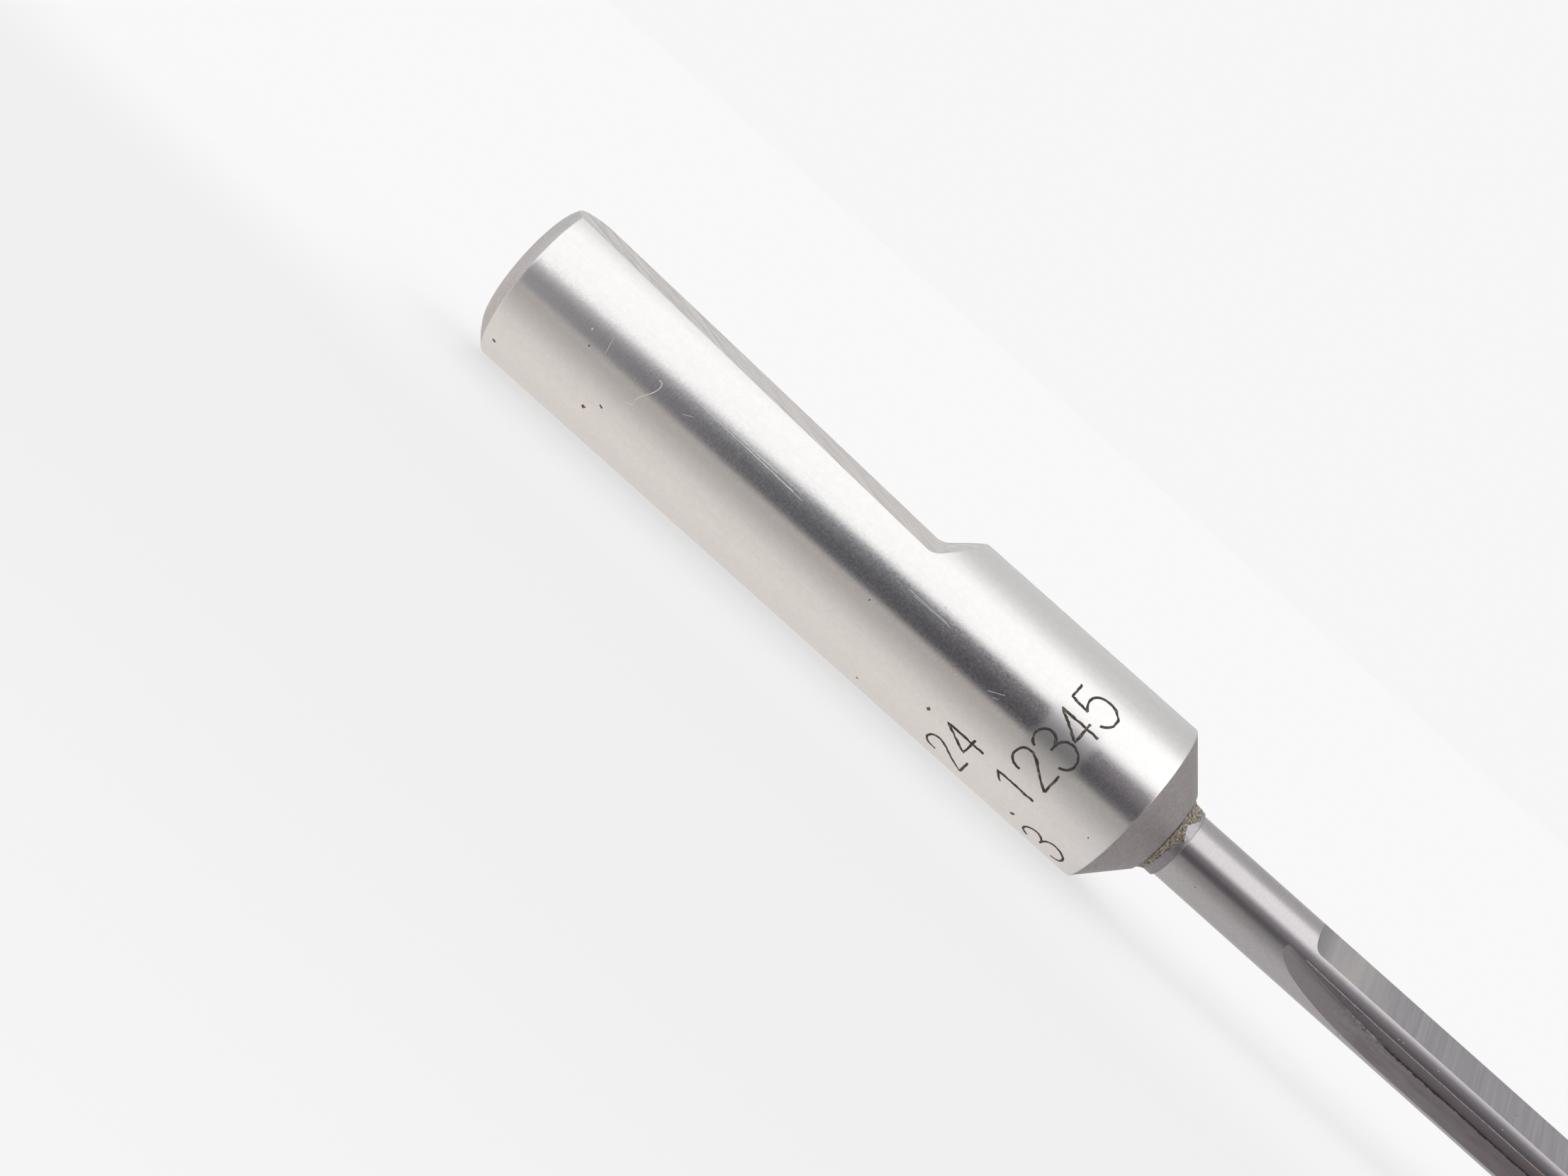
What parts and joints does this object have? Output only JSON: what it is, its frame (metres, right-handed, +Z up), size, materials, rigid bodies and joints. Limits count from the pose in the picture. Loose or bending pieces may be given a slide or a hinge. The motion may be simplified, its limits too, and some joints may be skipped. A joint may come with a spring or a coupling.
{
  "type": "deep hole drill",
  "caption": "Straight-fluted carbide drill for deep holes, brazed into a cylindrical steel driver with an inclined clamping flat, a coned nose and a through coolant bore.",
  "frame": {"origin": "on the tool's axis, at the shoulder where the shank's full diameter ends and the nose cone begins", "axes": "+X along the axis towards the drill point, +Z up, square to the axis on the side of the clamping flat, which is on top when the drill lies at rest"},
  "size_m": [0.1496, 0.01, 0.01],
  "materials": {
    "driver": "ground bright on the shank, fine matt on the nose and the rear chamfer",
    "braze_joint": "dull silver-grey braze with golden brown residue at its foot",
    "drill": "fine ground cemented carbide"
  },
  "bodies": {
    "root": {"driver": "driver", "braze_joint": "braze_joint", "drill": "drill"}
  },
  "joints": []
}
